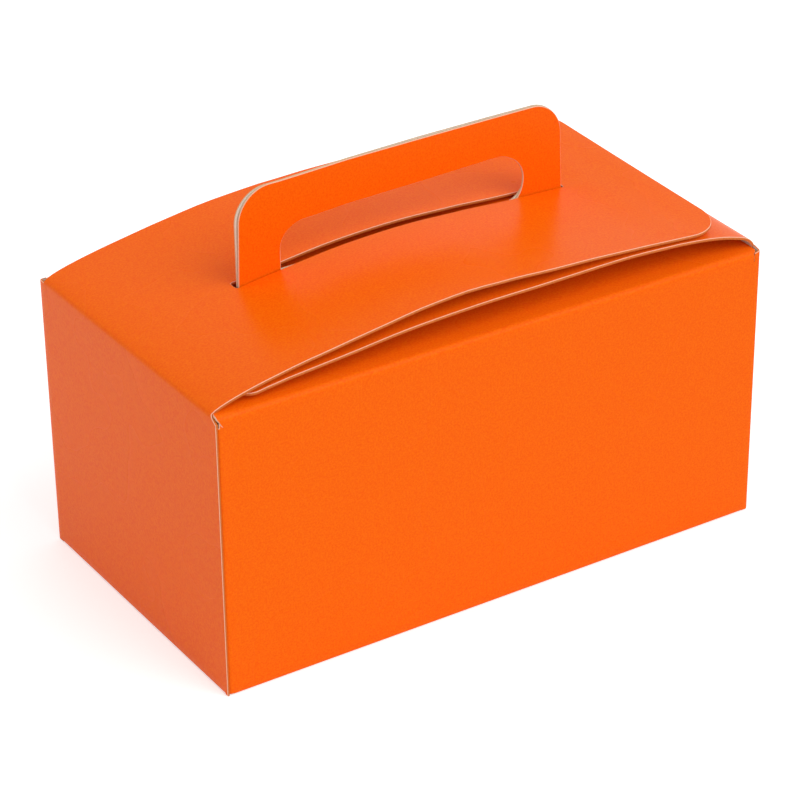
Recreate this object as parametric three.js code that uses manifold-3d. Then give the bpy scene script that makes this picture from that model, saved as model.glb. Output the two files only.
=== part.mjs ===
// Carry-handle candy carton, folded from one sheet of printed board.
// Millimetres, +Z up. The origin is the middle of the underside, X runs along the box,
// and the long panel that faces -Y is called the front.
import * as THREE from 'three';
import Module from 'manifold-3d';
import { mergeVertices } from 'three/addons/utils/BufferGeometryUtils.js';

const wasm = await Module();
wasm.setup();

// Board
const BOARD = 0.5;
const CREASE_RADIUS = 0.9;
const LAYER_GAP = 0.1;

// Box
const BOX_LENGTH = 150;
const BOX_WIDTH = 83.7;
const WALL_HEIGHT = 71.7;
const GLUE_TAB_WIDTH = 14;
const GLUE_TAB_INSET = 3;

// Upper flap, the lid
const HINGE_CLEARANCE = 0.3;
const FLAP_SIDE_INSET = 2.3;
const LID_END_GAP = 7.7;
const LID_CORNER_RADIUS = 11.5;
const LID_CROWN_RISE = 10.8;
const LID_END_RISE = 7.4;
const LID_ROOT_ANGLE = THREE.MathUtils.degToRad(40);
const LID_ROOT_ARM = 5;
const LID_CROWN_ARM = 27;
const LID_CROWN_END_ARM = 15;
const LID_END_ARM = 12;
const LID_END_ANGLE = THREE.MathUtils.degToRad(4);
const LID_BACK_LIFT = 2.4;
const LID_FRONT_LIFT = 0.8;

// Lower flap
const LOWER_END_GAP = 8.5;
const LOWER_CORNER_RADIUS = 4;
const LOWER_CREST_OFFSET = 34;
const LOWER_CREST_RISE = 7.3;
const LOWER_END_RISE = 2;
const LOWER_ROOT_ARM = 4;
const LOWER_CREST_ARM = 33;
const LOWER_FALL_ARM = 45;
const LOWER_END_ANGLE = THREE.MathUtils.degToRad(6);
const LOWER_BACK_BULGE = 3;

// Inner flaps, which carry the handle
const RIDGE_RISE = 2.8;
const INNER_FLAP_RELIEF = 1.4;
const INNER_FLAP_SHOULDER = 2.5;

// Handle
const HANDLE_LENGTH = 91;
const HANDLE_HEIGHT = 28.8;
const HANDLE_SHIFT = 0.5;
const HANDLE_CORNER_RADIUS = 10;
const HANDLE_TAPER = THREE.MathUtils.degToRad(1.8);
const HANDLE_FOLD_GAP = 0.04;
const REAR_BOARD_LEAN = THREE.MathUtils.degToRad(3.7);
const HOLE_LENGTH = 68;
const HOLE_HEIGHT = 16;
const HOLE_CORNER_RADIUS = 9.5;
const HOLE_BAND = 10.4;

// Slots round the handle
const SLOT_CLEARANCE = 0.35;
const LOWER_SLOT_CLEARANCE = 0.9;
const SLOT_CORNER_RADIUS = 0.6;

// Snap-lock bottom
const LOCK_LINE = 0;
const LOCK_LENGTH = 74;
const LOCK_REACH = 15;
const LOCK_CLEARANCE = 1;
const LOCK_RAMP = 5;
const SIDE_FLAP_DEPTH = 35;
const SIDE_FLAP_SLANT = 17;
const BOTTOM_FLAP_TAPER = 9;

// Print
const ORANGE = 0xfb6815;
const PRINT_ROUGHNESS = 0.45;

// Steps along curved sheets
const SHEET_STEPS = 44;
const SHEET_ROWS = 8;
const ARC_STEPS = 10;

// Planes and lines worked out from the sizes above
const endX = BOX_LENGTH / 2;
const sideY = BOX_WIDTH / 2;
const flapHalfWidth = sideY - FLAP_SIDE_INSET;
const hingeX = -endX + BOARD / 2;
const hingeZ = WALL_HEIGHT - BOARD / 2;
const lidEndX = endX - LID_END_GAP;
const lowerEndX = -endX + LOWER_END_GAP;
const ridgeZ = WALL_HEIGHT + RIDGE_RISE;
const handleTopZ = ridgeZ + HANDLE_HEIGHT;
const handleHalf = HANDLE_LENGTH / 2;
const frontBoardY = -HANDLE_FOLD_GAP / 2 - BOARD;
const rearBoardY = HANDLE_FOLD_GAP / 2;

// A closed geometry becomes a solid that can be joined and cut
function solid(geometry) {
  const source = geometry.clone();
  source.deleteAttribute('normal');
  source.deleteAttribute('uv');
  const welded = mergeVertices(source, 1e-5);
  return new wasm.Manifold(new wasm.Mesh({
    numProp: 3,
    vertProperties: new Float32Array(welded.attributes.position.array),
    triVerts: new Uint32Array(welded.index.array),
  }));
}

function named(name, body, colour, roughness) {
  const mesh = body.getMesh();
  const geometry = new THREE.BufferGeometry();
  geometry.setAttribute('position', new THREE.BufferAttribute(mesh.vertProperties, 3));
  geometry.setIndex(new THREE.BufferAttribute(mesh.triVerts, 1));
  geometry.computeVertexNormals();
  const material = new THREE.MeshStandardMaterial({ color: colour, roughness, metalness: 0 });
  const part = new THREE.Mesh(geometry, material);
  part.name = name;
  return part;
}

function join(bodies) {
  return bodies.reduce((all, body) => all.add(body));
}

// An upright prism over an outline in the XY plane
function prism(outline, bottom, height) {
  const geometry = new THREE.ExtrudeGeometry(outline, {
    depth: height,
    bevelEnabled: false,
    curveSegments: ARC_STEPS,
  });
  geometry.translate(0, 0, bottom);
  return solid(geometry);
}

function polygon(points) {
  return new THREE.Shape(points.map(([x, y]) => new THREE.Vector2(x, y)));
}

// A rectangle whose four corners have their own radii: low left, low right, high right, high left
function roundedRectangle(x0, y0, x1, y1, radii) {
  const [lowLeft, lowRight, highRight, highLeft] = radii;
  const shape = new THREE.Shape();
  shape.moveTo(x0 + lowLeft, y0);
  shape.lineTo(x1 - lowRight, y0);
  if (lowRight > 0) shape.absarc(x1 - lowRight, y0 + lowRight, lowRight, -Math.PI / 2, 0);
  shape.lineTo(x1, y1 - highRight);
  if (highRight > 0) shape.absarc(x1 - highRight, y1 - highRight, highRight, 0, Math.PI / 2);
  shape.lineTo(x0 + highLeft, y1);
  if (highLeft > 0) shape.absarc(x0 + highLeft, y1 - highLeft, highLeft, Math.PI / 2, Math.PI);
  shape.lineTo(x0, y0 + lowLeft);
  if (lowLeft > 0) shape.absarc(x0 + lowLeft, y0 + lowLeft, lowLeft, Math.PI, Math.PI * 1.5);
  return shape;
}

// A board bent along a profile. profileAt(share) gives the profile in X and Z at a share of the
// width, 0 at the front edge and 1 at the back edge. The profile runs along the board's middle.
function bentBoard(profileAt) {
  const geometry = new THREE.BoxGeometry(1, 1, BOARD, SHEET_STEPS, SHEET_ROWS, 1);
  const position = geometry.attributes.position;
  const rows = new Map();
  for (let i = 0; i < position.count; i += 1) {
    const along = THREE.MathUtils.clamp(position.getX(i) + 0.5, 0, 1);
    const share = THREE.MathUtils.clamp(position.getY(i) + 0.5, 0, 1);
    const offset = position.getZ(i);
    if (!rows.has(share)) rows.set(share, profileAt(share));
    const profile = rows.get(share);
    const point = profile.getPoint(along);
    const tangent = profile.getTangent(along);
    const y = (share * 2 - 1) * flapHalfWidth;
    position.setXYZ(i, point.x - tangent.y * offset, y, point.y + tangent.x * offset);
  }
  return solid(geometry);
}

function curveThrough(...pieces) {
  const path = new THREE.CurvePath();
  pieces.forEach((piece) => path.add(piece));
  return path;
}

// Upper flap's arch: up from the hinge, over the crown at mid length, down to the free end.
// The board's middle is followed, half a board under the measured top face.
function lidProfile(share) {
  const root = new THREE.Vector2(hingeX, hingeZ);
  const leave = new THREE.Vector2(Math.cos(LID_ROOT_ANGLE), Math.sin(LID_ROOT_ANGLE));
  const crown = new THREE.Vector2(0, WALL_HEIGHT + LID_CROWN_RISE - BOARD / 2);
  const end = new THREE.Vector2(lidEndX, WALL_HEIGHT + LID_END_RISE - BOARD / 2);
  crown.y += LID_FRONT_LIFT * (1 - share);
  end.y += LID_BACK_LIFT * share;
  const start = root.clone().addScaledVector(leave, BOARD / 2 + HINGE_CLEARANCE);
  const fall = new THREE.Vector2(-Math.cos(LID_END_ANGLE), Math.sin(LID_END_ANGLE));
  return curveThrough(
    new THREE.CubicBezierCurve(
      start,
      start.clone().addScaledVector(leave, LID_ROOT_ARM),
      new THREE.Vector2(-LID_CROWN_ARM, crown.y),
      crown,
    ),
    new THREE.CubicBezierCurve(
      crown,
      new THREE.Vector2(LID_CROWN_END_ARM, crown.y),
      end.clone().addScaledVector(fall, LID_END_ARM),
      end,
    ),
  );
}

// Lower flap's arch: up from the right-hand crease, over its crest, down to the free end
function lowerProfile(share) {
  const lift = LOWER_BACK_BULGE * share;
  const root = new THREE.Vector2(endX - BOARD / 2, WALL_HEIGHT - BOARD);
  const crest = new THREE.Vector2(
    LOWER_CREST_OFFSET,
    WALL_HEIGHT + LOWER_CREST_RISE - BOARD / 2,
  );
  const end = new THREE.Vector2(lowerEndX, WALL_HEIGHT + LOWER_END_RISE - BOARD / 2);
  const fall = new THREE.Vector2(Math.cos(LOWER_END_ANGLE), Math.sin(LOWER_END_ANGLE));
  return curveThrough(
    new THREE.CubicBezierCurve(
      end,
      end.clone().addScaledVector(fall, LOWER_FALL_ARM),
      new THREE.Vector2(crest.x - LOWER_FALL_ARM, crest.y),
      crest,
    ),
    new THREE.CubicBezierCurve(
      crest,
      new THREE.Vector2(crest.x + LOWER_CREST_ARM, crest.y + lift),
      new THREE.Vector2(root.x, root.y + LOWER_ROOT_ARM + lift),
      root,
    ),
  );
}

// Height of a profile's middle at a place along X, found by halving the stretch that holds it
function heightAt(profile, x) {
  let low = 0;
  let high = 1;
  while (high - low > 1e-6) {
    const middle = (low + high) / 2;
    if (profile.getPoint(middle).x < x) low = middle;
    else high = middle;
  }
  return profile.getPoint(low).y;
}

// One handle board in its own plane: X along the box, Y up from the fold line. It starts one
// board lower, inside the inner flap that it is folded from.
function handleOutline() {
  const topHalf = handleHalf - HANDLE_HEIGHT * Math.tan(HANDLE_TAPER);
  const radius = HANDLE_CORNER_RADIUS;
  const lean = HANDLE_TAPER;
  const centreHeight = HANDLE_HEIGHT - radius;
  const centreX = topHalf - radius * (1 - Math.sin(lean)) / Math.cos(lean);
  const shape = new THREE.Shape();
  shape.moveTo(-handleHalf, -BOARD);
  shape.lineTo(handleHalf, -BOARD);
  shape.lineTo(handleHalf, 0);
  shape.absarc(centreX, centreHeight, radius, lean, Math.PI / 2);
  shape.absarc(-centreX, centreHeight, radius, Math.PI / 2, Math.PI - lean);
  shape.lineTo(-handleHalf, 0);
  shape.closePath();
  shape.holes.push(handHole());
  return shape;
}

function handHole() {
  const top = HANDLE_HEIGHT - HOLE_BAND;
  const half = HOLE_LENGTH / 2;
  const radius = HOLE_CORNER_RADIUS;
  return roundedRectangle(-half, top - HOLE_HEIGHT, half, top, [0, 0, radius, radius]);
}

// A handle board stood on the fold line, its front face at faceY, leaning back by an angle
function handleBoard(faceY, lean) {
  const geometry = new THREE.ExtrudeGeometry(handleOutline(), {
    depth: BOARD,
    bevelEnabled: false,
    curveSegments: ARC_STEPS,
  });
  geometry.translate(0, 0, -BOARD);
  geometry.rotateX(Math.PI / 2 - lean);
  geometry.translate(HANDLE_SHIFT, faceY, ridgeZ);
  return solid(geometry);
}

// The roof-like inner flap from a long panel's crease up to the handle's fold line.
// Its ends slope in from the box's corners to the shoulders beside the handle.
function innerFlap(side) {
  const crease = side * sideY;
  const fold = side < 0 ? frontBoardY + BOARD : rearBoardY;
  const section = polygon([
    [crease, WALL_HEIGHT - BOARD],
    [fold, ridgeZ - BOARD],
    [fold, ridgeZ],
    [crease, WALL_HEIGHT],
  ]);
  const geometry = new THREE.ExtrudeGeometry(section, { depth: BOX_LENGTH, bevelEnabled: false });
  geometry.translate(0, 0, -endX);
  geometry.rotateY(Math.PI / 2);
  geometry.rotateX(Math.PI / 2);
  const wide = endX - INNER_FLAP_RELIEF;
  const narrow = handleHalf + INNER_FLAP_SHOULDER;
  const outline = polygon([
    [-wide, crease],
    [wide, crease],
    [narrow + HANDLE_SHIFT, fold],
    [-narrow + HANDLE_SHIFT, fold],
  ]);
  return solid(geometry).intersect(prism(outline, 0, handleTopZ));
}

// The four walls, with the left wall's cut edge square at the front corner where it is glued
function walls() {
  const outer = CREASE_RADIUS;
  const inner = CREASE_RADIUS - BOARD;
  const section = roundedRectangle(-endX, -sideY, endX, sideY, [0, outer, outer, outer]);
  const inside = roundedRectangle(
    -endX + BOARD,
    -sideY + BOARD,
    endX - BOARD,
    sideY - BOARD,
    Array(4).fill(inner),
  );
  section.holes.push(inside);
  const tube = prism(section, 0, WALL_HEIGHT);
  const hingeEdge = new THREE.BoxGeometry(BOARD, BOX_WIDTH, BOARD);
  hingeEdge.translate(hingeX, 0, hingeZ + BOARD / 2);
  const round = new THREE.CylinderGeometry(BOARD / 2, BOARD / 2, flapHalfWidth * 2, ARC_STEPS * 2);
  round.translate(hingeX, 0, hingeZ);
  return tube.subtract(solid(hingeEdge)).add(solid(round));
}

// The front panel's glue tab, stuck to the inside of the left wall
function glueTab() {
  const outline = roundedRectangle(
    -endX + BOARD,
    -sideY + BOARD,
    -endX + BOARD * 2,
    -sideY + GLUE_TAB_WIDTH,
    [0, 0, 0, 0],
  );
  return prism(outline, GLUE_TAB_INSET, WALL_HEIGHT - GLUE_TAB_INSET * 2);
}

// The snap-lock bottom: back flap innermost, two side flaps, front flap with its tongue outermost
function bottom() {
  const step = BOARD + LAYER_GAP;
  const wide = endX - BOARD;
  const taper = BOTTOM_FLAP_TAPER;
  const lockHalf = LOCK_LENGTH / 2;
  const notchHalf = lockHalf + LOCK_CLEARANCE;
  const frontFlap = prism(polygon([
    [-wide, -sideY],
    [wide, -sideY],
    [wide - taper, LOCK_LINE],
    [-wide + taper, LOCK_LINE],
  ]), 0, BOARD);
  const rampRoom = prism(polygon([
    [-notchHalf, LOCK_LINE - LOCK_RAMP],
    [notchHalf, LOCK_LINE - LOCK_RAMP],
    [notchHalf, LOCK_LINE + LOCK_RAMP],
    [-notchHalf, LOCK_LINE + LOCK_RAMP],
  ]), -BOARD, BOARD * 2 + LAYER_GAP / 2);
  const backFlap = prism(polygon([
    [wide, sideY],
    [-wide, sideY],
    [-wide + taper, LOCK_LINE - LOCK_REACH],
    [-notchHalf, LOCK_LINE - LOCK_REACH],
    [-notchHalf, LOCK_LINE + LOCK_CLEARANCE],
    [notchHalf, LOCK_LINE + LOCK_CLEARANCE],
    [notchHalf, LOCK_LINE - LOCK_REACH],
    [wide - taper, LOCK_LINE - LOCK_REACH],
  ]), step * 2, BOARD);
  const sideFlaps = [-1, 1].map((side) => {
    const crease = side * endX;
    const tip = side * (endX - SIDE_FLAP_DEPTH);
    return prism(polygon([
      [crease, sideY - BOARD * 2],
      [crease, -sideY + BOARD * 2],
      [tip, LOCK_LINE - LOCK_REACH],
      [tip, sideY - SIDE_FLAP_SLANT],
    ]), step, BOARD);
  });
  return join([frontFlap.subtract(rampRoom), lockTongue(step), backFlap, ...sideFlaps]);
}

// The front flap's tongue ramps up through the back flap's notch and lies on top of that flap
function lockTongue(step) {
  const top = step * 3;
  const section = polygon([
    [LOCK_LINE - LOCK_RAMP - BOARD, 0],
    [LOCK_LINE - LOCK_RAMP, 0],
    [LOCK_LINE, top],
    [LOCK_LINE + LOCK_REACH, top],
    [LOCK_LINE + LOCK_REACH, top + BOARD],
    [LOCK_LINE - BOARD, top + BOARD],
    [LOCK_LINE - LOCK_RAMP - BOARD, BOARD],
  ]);
  const geometry = new THREE.ExtrudeGeometry(section, { depth: LOCK_LENGTH, bevelEnabled: false });
  geometry.translate(0, 0, -LOCK_LENGTH / 2);
  geometry.rotateY(Math.PI / 2);
  geometry.rotateX(Math.PI / 2);
  return solid(geometry);
}

// Lower flap: bent board, rounded free corners, slot for the handle
function lowerFlap() {
  const radius = LOWER_CORNER_RADIUS;
  const board = bentBoard(lowerProfile);
  const outline = roundedRectangle(
    lowerEndX,
    -flapHalfWidth,
    endX,
    flapHalfWidth,
    [radius, 0, 0, radius],
  );
  const clear = LOWER_SLOT_CLEARANCE;
  const slot = roundedRectangle(
    HANDLE_SHIFT - handleHalf - clear,
    frontBoardY - SLOT_CLEARANCE,
    HANDLE_SHIFT + handleHalf + clear,
    handleBackAt(WALL_HEIGHT + LID_CROWN_RISE) + SLOT_CLEARANCE,
    [0, 0, 0, 0],
  );
  return board.intersect(prism(outline, 0, handleTopZ)).subtract(prism(slot, 0, handleTopZ));
}

// How far back the leaning rear handle board reaches at a height
function handleBackAt(height) {
  return rearBoardY + BOARD / Math.cos(REAR_BOARD_LEAN)
    + (height - ridgeZ) * Math.tan(REAR_BOARD_LEAN);
}

// The slot's right-hand end: the outermost part of the handle must swing clear of it
function lidSlotEnd() {
  const topHalf = handleHalf - HANDLE_HEIGHT * Math.tan(HANDLE_TAPER);
  const cornerX = HANDLE_SHIFT + topHalf - HANDLE_CORNER_RADIUS;
  const cornerZ = handleTopZ - HANDLE_CORNER_RADIUS;
  const swing = Math.hypot(cornerX - hingeX, cornerZ - hingeZ) + HANDLE_CORNER_RADIUS;
  const underside = heightAt(lidProfile(0), HANDLE_SHIFT + handleHalf) - BOARD / 2 - hingeZ;
  return hingeX + Math.sqrt((swing + SLOT_CLEARANCE) ** 2 - underside ** 2);
}

// Lid: bent board, rounded free corners, slot that lifts off over the handle
function lidFlap() {
  const radius = LID_CORNER_RADIUS;
  const board = bentBoard(lidProfile);
  const outline = roundedRectangle(
    -endX,
    -flapHalfWidth,
    lidEndX,
    flapHalfWidth,
    [0, radius, radius, 0],
  );
  const nearY = frontBoardY - SLOT_CLEARANCE;
  const farY = handleBackAt(handleTopZ) + SLOT_CLEARANCE;
  const slot = roundedRectangle(
    HANDLE_SHIFT - handleHalf - SLOT_CLEARANCE,
    nearY,
    lidSlotEnd(),
    farY,
    Array(4).fill(SLOT_CORNER_RADIUS),
  );
  return board.intersect(prism(outline, 0, handleTopZ)).subtract(prism(slot, 0, handleTopZ));
}

function carton() {
  return join([
    walls(),
    glueTab(),
    bottom(),
    innerFlap(-1),
    innerFlap(1),
    handleBoard(frontBoardY, 0),
    handleBoard(rearBoardY, REAR_BOARD_LEAN),
    lowerFlap(),
  ]);
}

const box = new THREE.Group();
box.add(named('carton', carton(), ORANGE, PRINT_ROUGHNESS));
box.add(named('lid_flap', lidFlap(), ORANGE, PRINT_ROUGHNESS));

export default box;
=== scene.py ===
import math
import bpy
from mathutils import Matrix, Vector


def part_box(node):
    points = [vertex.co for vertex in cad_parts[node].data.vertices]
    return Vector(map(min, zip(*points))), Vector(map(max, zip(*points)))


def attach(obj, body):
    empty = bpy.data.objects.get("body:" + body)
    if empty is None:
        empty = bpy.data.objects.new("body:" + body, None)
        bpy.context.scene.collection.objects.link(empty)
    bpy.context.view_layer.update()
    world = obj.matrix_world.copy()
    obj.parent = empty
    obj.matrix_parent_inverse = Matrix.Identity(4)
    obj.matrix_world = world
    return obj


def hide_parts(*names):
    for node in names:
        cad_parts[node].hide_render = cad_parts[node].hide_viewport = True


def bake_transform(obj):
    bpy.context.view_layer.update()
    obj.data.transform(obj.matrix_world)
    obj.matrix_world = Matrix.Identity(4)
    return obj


bl_info = {
    "name": "Carry-handle candy carton",
    "version": (1, 0, 0),
    "blender": (4, 5, 0),
    "location": "View3D > Sidebar > Carton",
    "description": "Cuts, creases and folds a candy carton with a carry handle from printed board",
    "category": "Object",
}

import bmesh
import bpy
from bpy.props import FloatProperty, FloatVectorProperty, IntProperty, PointerProperty
from mathutils import Matrix, Vector
from mathutils.geometry import interpolate_bezier

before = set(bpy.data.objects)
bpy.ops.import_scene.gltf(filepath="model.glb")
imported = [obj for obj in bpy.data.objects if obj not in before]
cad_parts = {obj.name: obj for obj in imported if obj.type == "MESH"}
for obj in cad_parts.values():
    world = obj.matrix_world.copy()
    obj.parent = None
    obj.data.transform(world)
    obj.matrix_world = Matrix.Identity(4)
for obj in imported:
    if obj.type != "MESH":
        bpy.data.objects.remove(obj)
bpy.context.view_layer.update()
CARTON_LOW, CARTON_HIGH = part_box("carton")

MM = 0.001
# The cut edges' core finish carries painted shade, and the rim's finish a painted highlight
PRINT, INSIDE, CORE_AND_SHADE, RIM_AND_HIGHLIGHT, PALE_CORE = range(5)
SMOOTH_ANGLE = math.radians(35)
FIBRE_DEPTH = 0.1 * MM
# How far a window's cutter goes past the board's edge
CUT_MARGIN = 5 * MM
# The lid leaves its crease this far from the hinge line
ROOT_STEP = 0.3 * MM
# How far the lid's crease goes on past the wall's inside, and how far from the hole's top its
# trim fades out
CREASE_REACH = 0.5 * MM
HOLE_TRIM_REACH = 4 * MM


def length(name, description, millimetres):
    """A length property, given in millimetres."""
    return FloatProperty(
        name=name,
        description=description,
        default=millimetres * MM,
        unit="LENGTH",
        subtype="DISTANCE",
        precision=5,
    )


def angle(name, description, degrees):
    """An angle property, given in degrees."""
    return FloatProperty(
        name=name,
        description=description,
        default=math.radians(degrees),
        unit="ROTATION",
        subtype="ANGLE",
    )


def share(name, description, value):
    """A plain number from nought to one."""
    return FloatProperty(
        name=name, description=description, default=value, min=0, max=1, subtype="FACTOR"
    )


def colour(name, description, red, green, blue):
    """A colour property, given as the screen shows it, from 0 to 255."""
    linear = [
        ((c / 255 + 0.055) / 1.055) ** 2.4 if c > 10 else c / 255 / 12.92
        for c in (red, green, blue)
    ]
    return FloatVectorProperty(
        name=name, description=description, default=linear, size=3, min=0, max=1, subtype="COLOR"
    )


class CartonSizes(bpy.types.PropertyGroup):
    """Sizes of the folded carton"""

    board: length("Board", "Thickness of the board", 0.5)
    length: length("Length", "Outside length of the box", (CARTON_HIGH.x - CARTON_LOW.x) / MM)
    width: length("Width", "Outside width of the box", (CARTON_HIGH.y - CARTON_LOW.y) / MM)
    height: length("Wall height", "Height of the four walls", 71.7)
    flap_board: length("Flap board", "Thickness of the lid and the lower flap", 0.66)
    crease: length("Corner crease", "Radius of the upright creases, at the board's middle", 0.4)
    soft_crease: length(
        "Soft crease", "Radius of the creases under the roof, at the board's middle", 1.3
    )
    lid_crease: length("Lid crease", "Radius of the crease that the lid turns on", 1.2)
    floor_crease: length("Floor crease", "Radius of the creases round the bottom", 0.3)
    top_seam: length(
        "Top seam", "How far below the top the wall panel hands over to the flaps", 2.5
    )
    floor_seam: length(
        "Floor seam", "Height at which the wall panel hands over to the bottom flaps", 2.5
    )
    relief: length("Relief", "How far the inner flaps stop short of the corners", 1.76)
    glue_tab: length("Glue tab", "Width of the tab glued inside the left wall", 14)
    glue_tab_inset: length("Glue tab inset", "How much shorter the glue tab is at each end", 3)
    tab_step: length("Tab step", "How far from the front the glue tab narrows", 1.5)
    tab_gap: length("Tab gap", "Gap between the glue tab and the left wall", 0.05)
    tab_fold: length(
        "Tab fold", "How far inside the front left crease the glue tab's top rises", 0.1
    )
    tab_rise: length("Tab rise", "How far the glue tab's top rises beside the crease", 1.2)
    tab_slant: length("Tab slant", "How much lower that top is where the front wall starts", 1.15)
    tab_corner: length("Tab corner", "Radius of the glue tab's low corner", 0.6)
    tab_foot: length("Tab foot", "Height of the glue tab's lower end beside the crease", 0.3)
    ear_gap: length("Ear gap", "How far the wall's corners stay below the top", 0.35)
    ear_foot: length("Ear foot", "How far the wall's corners stay above the floor", 0.1)
    side_flap_gap: length("Side flap gap", "From the left bottom flap's front end to the front", 1)
    lock_corner: length("Lock corner", "Radius of the tongue's corners", 4)
    bottom_corner: length("Bottom corner", "Radius of the side flaps' tips and of the notch", 3)
    front_run: length("Front run", "Length over which the front bottom flap levels out", 3)
    back_run: length("Back run", "Length over which the back bottom flap climbs", 4)
    side_run: length("Side run", "Length over which a side bottom flap climbs", 2)
    flap_inset: length("Flap inset", "How far the outer flaps lie inside the front and back", 2.3)

    lid_end_gap: length("Lid end gap", "From the lid's free end to the right wall", 7.7)
    lid_corner: length("Lid corner", "Radius of the lid's free corners", 11.5)
    lid_crown_rise: length("Lid crown rise", "Height of the lid's crown over the walls", 10.8)
    lid_end_rise: length("Lid end rise", "Height of the lid's free end over the walls", 7.4)
    lid_root_angle: angle("Lid root angle", "Slope of the lid where it leaves its crease", 40)
    lid_root_arm: length("Lid root arm", "How long the lid keeps its slope at the crease", 5)
    lid_crown_arm: length("Lid crown arm", "How long the lid stays level before the crown", 27)
    lid_crown_end_arm: length(
        "Lid crown end arm", "How long the lid stays level after the crown", 15
    )
    lid_end_arm: length("Lid end arm", "How long the lid keeps its slope at the free end", 12)
    lid_end_angle: angle("Lid end angle", "Slope of the lid at its free end", 4)
    lid_front_lift: length("Lid front lift", "How much higher the crown is at the front", 0.8)
    lid_back_lift: length("Lid back lift", "How much higher the free end is at the back", 2.4)
    lid_root_cut: length("Lid root cut", "Height of the slanted cut beside the lid's crease", 1.6)
    ear_rise: length("Ear rise", "How far the front right corner's top climbs to the lower flap", 1)

    lower_end_gap: length("Lower end gap", "From the lower flap's free end to the left wall", 8.5)
    lower_corner: length("Lower corner", "Radius of the lower flap's free corners", 4)
    lower_crest: length("Lower crest", "Where the lower flap is highest, from the middle", 34)
    lower_crest_rise: length(
        "Lower crest rise", "Height of the lower flap's crest over the walls", 7.3
    )
    lower_end_rise: length("Lower end rise", "Height of the lower flap's end over the walls", 1.9)
    lower_root_arm: length("Lower root arm", "How long the lower flap rises from its crease", 4)
    lower_crest_arm: length(
        "Lower crest arm", "How long the crest stays level towards the crease", 33
    )
    lower_fall_arm: length("Lower fall arm", "How long the fall to the free end is spread", 45)
    lower_end_angle: angle("Lower end angle", "Slope of the lower flap at its free end", 6)
    lower_bulge: length("Lower bulge", "How much higher the lower flap bends at the back", 3)

    ridge_rise: length("Ridge rise", "Height of the handle's fold line over the walls", 2.8)
    ridge_crease: length("Ridge crease", "Radius of the fold at the handle's foot", 0.35)
    shoulder: length("Shoulder", "How far the inner flap goes past the handle's side", 2.5)
    handle_length: length("Handle length", "Length of the handle at its foot", 91)
    handle_height: length("Handle height", "Height of the handle over its fold line", 28.8)
    handle_shift: length("Handle shift", "How far the handle is right of the middle", 0.5)
    handle_corner: length("Handle corner", "Radius of the handle's upper corners", 8.1)
    handle_taper: angle("Handle taper", "Lean of the handle's two sides", 1.8)
    handle_gap: length("Handle gap", "Gap between the two handle boards at their foot", 0.04)
    rear_lean: angle("Rear lean", "How far the rear handle board leans back", 0.5)
    rear_taper: angle("Rear taper", "Lean of the rear board's two sides", 0.8)
    rear_top_shift: length(
        "Rear top shift", "How far the rear board's top is left of its foot", 0.32
    )
    hole_length: length("Hole length", "Length of the hand hole", 68)
    hole_height: length("Hole height", "Height of the hand hole", 14.4)
    hole_corner: length("Hole corner", "Radius of the hand hole's upper corners", 6.5)
    hole_low_corner: length("Hole low corner", "Radius of the hand hole's lower right corner", 7.8)
    rear_hole_height: length("Rear hole height", "Height of the rear board's hole", 12.1)
    rear_hole_low_corner: length("Rear hole low corner", "Radius of its lower right corner", 5.5)
    rear_hole_reach: length(
        "Rear hole reach", "How much further right the rear board's hole goes", 0.65
    )
    hole_band: length("Hole band", "Height of the handle over the hand hole", 11.2)

    slot_clearance: length("Slot clearance", "Gap between the handle and the lid's slot", 0.35)
    lower_slot_clearance: length(
        "Lower slot clearance", "Gap beside the handle in the lower flap", 1.4
    )
    slot_corner: length("Slot corner", "Radius of the slot's corners", 0.6)
    slot_start: length("Slot start", "Where the lid's slot starts, from the middle", -45.6)
    slot_end: length("Slot end", "Where the lid's slot ends, from the middle", 46.3)
    slot_back: length("Slot back", "Where the lid's slot ends at the back, from the middle", 2.25)
    lower_slot_back: length("Lower slot back", "Where the lower flap's slot ends at the back", 1.4)

    lock_length: length("Lock length", "Length of the tongue in the bottom", 74)
    lock_reach: length("Lock reach", "How far the tongue lies over the back flap", 15)
    lock_clearance: length("Lock clearance", "Gap round the tongue", 1)
    lock_ramp: length("Lock ramp", "Length over which the tongue climbs", 5)
    side_flap_depth: length("Side flap depth", "Depth of the two side flaps in the bottom", 35)
    side_flap_slant: length("Side flap slant", "How far a side flap's tip is short of the back", 17)
    bottom_taper: length("Bottom taper", "How much the bottom flaps narrow", 9)
    layer_gap: length("Layer gap", "Gap between the boards in the bottom", 0.1)

    rim: length("Cut rim", "Width of the pale line along cut edges", 0.13)
    bend_steps: IntProperty(
        name="Bend steps", description="Steps along a curved flap", default=44, min=8
    )
    arc_steps: IntProperty(
        name="Arc steps", description="Steps round a crease or corner", default=8, min=3
    )
    rows: IntProperty(name="Rows", description="Rows across a curved flap", default=8, min=1)


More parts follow.
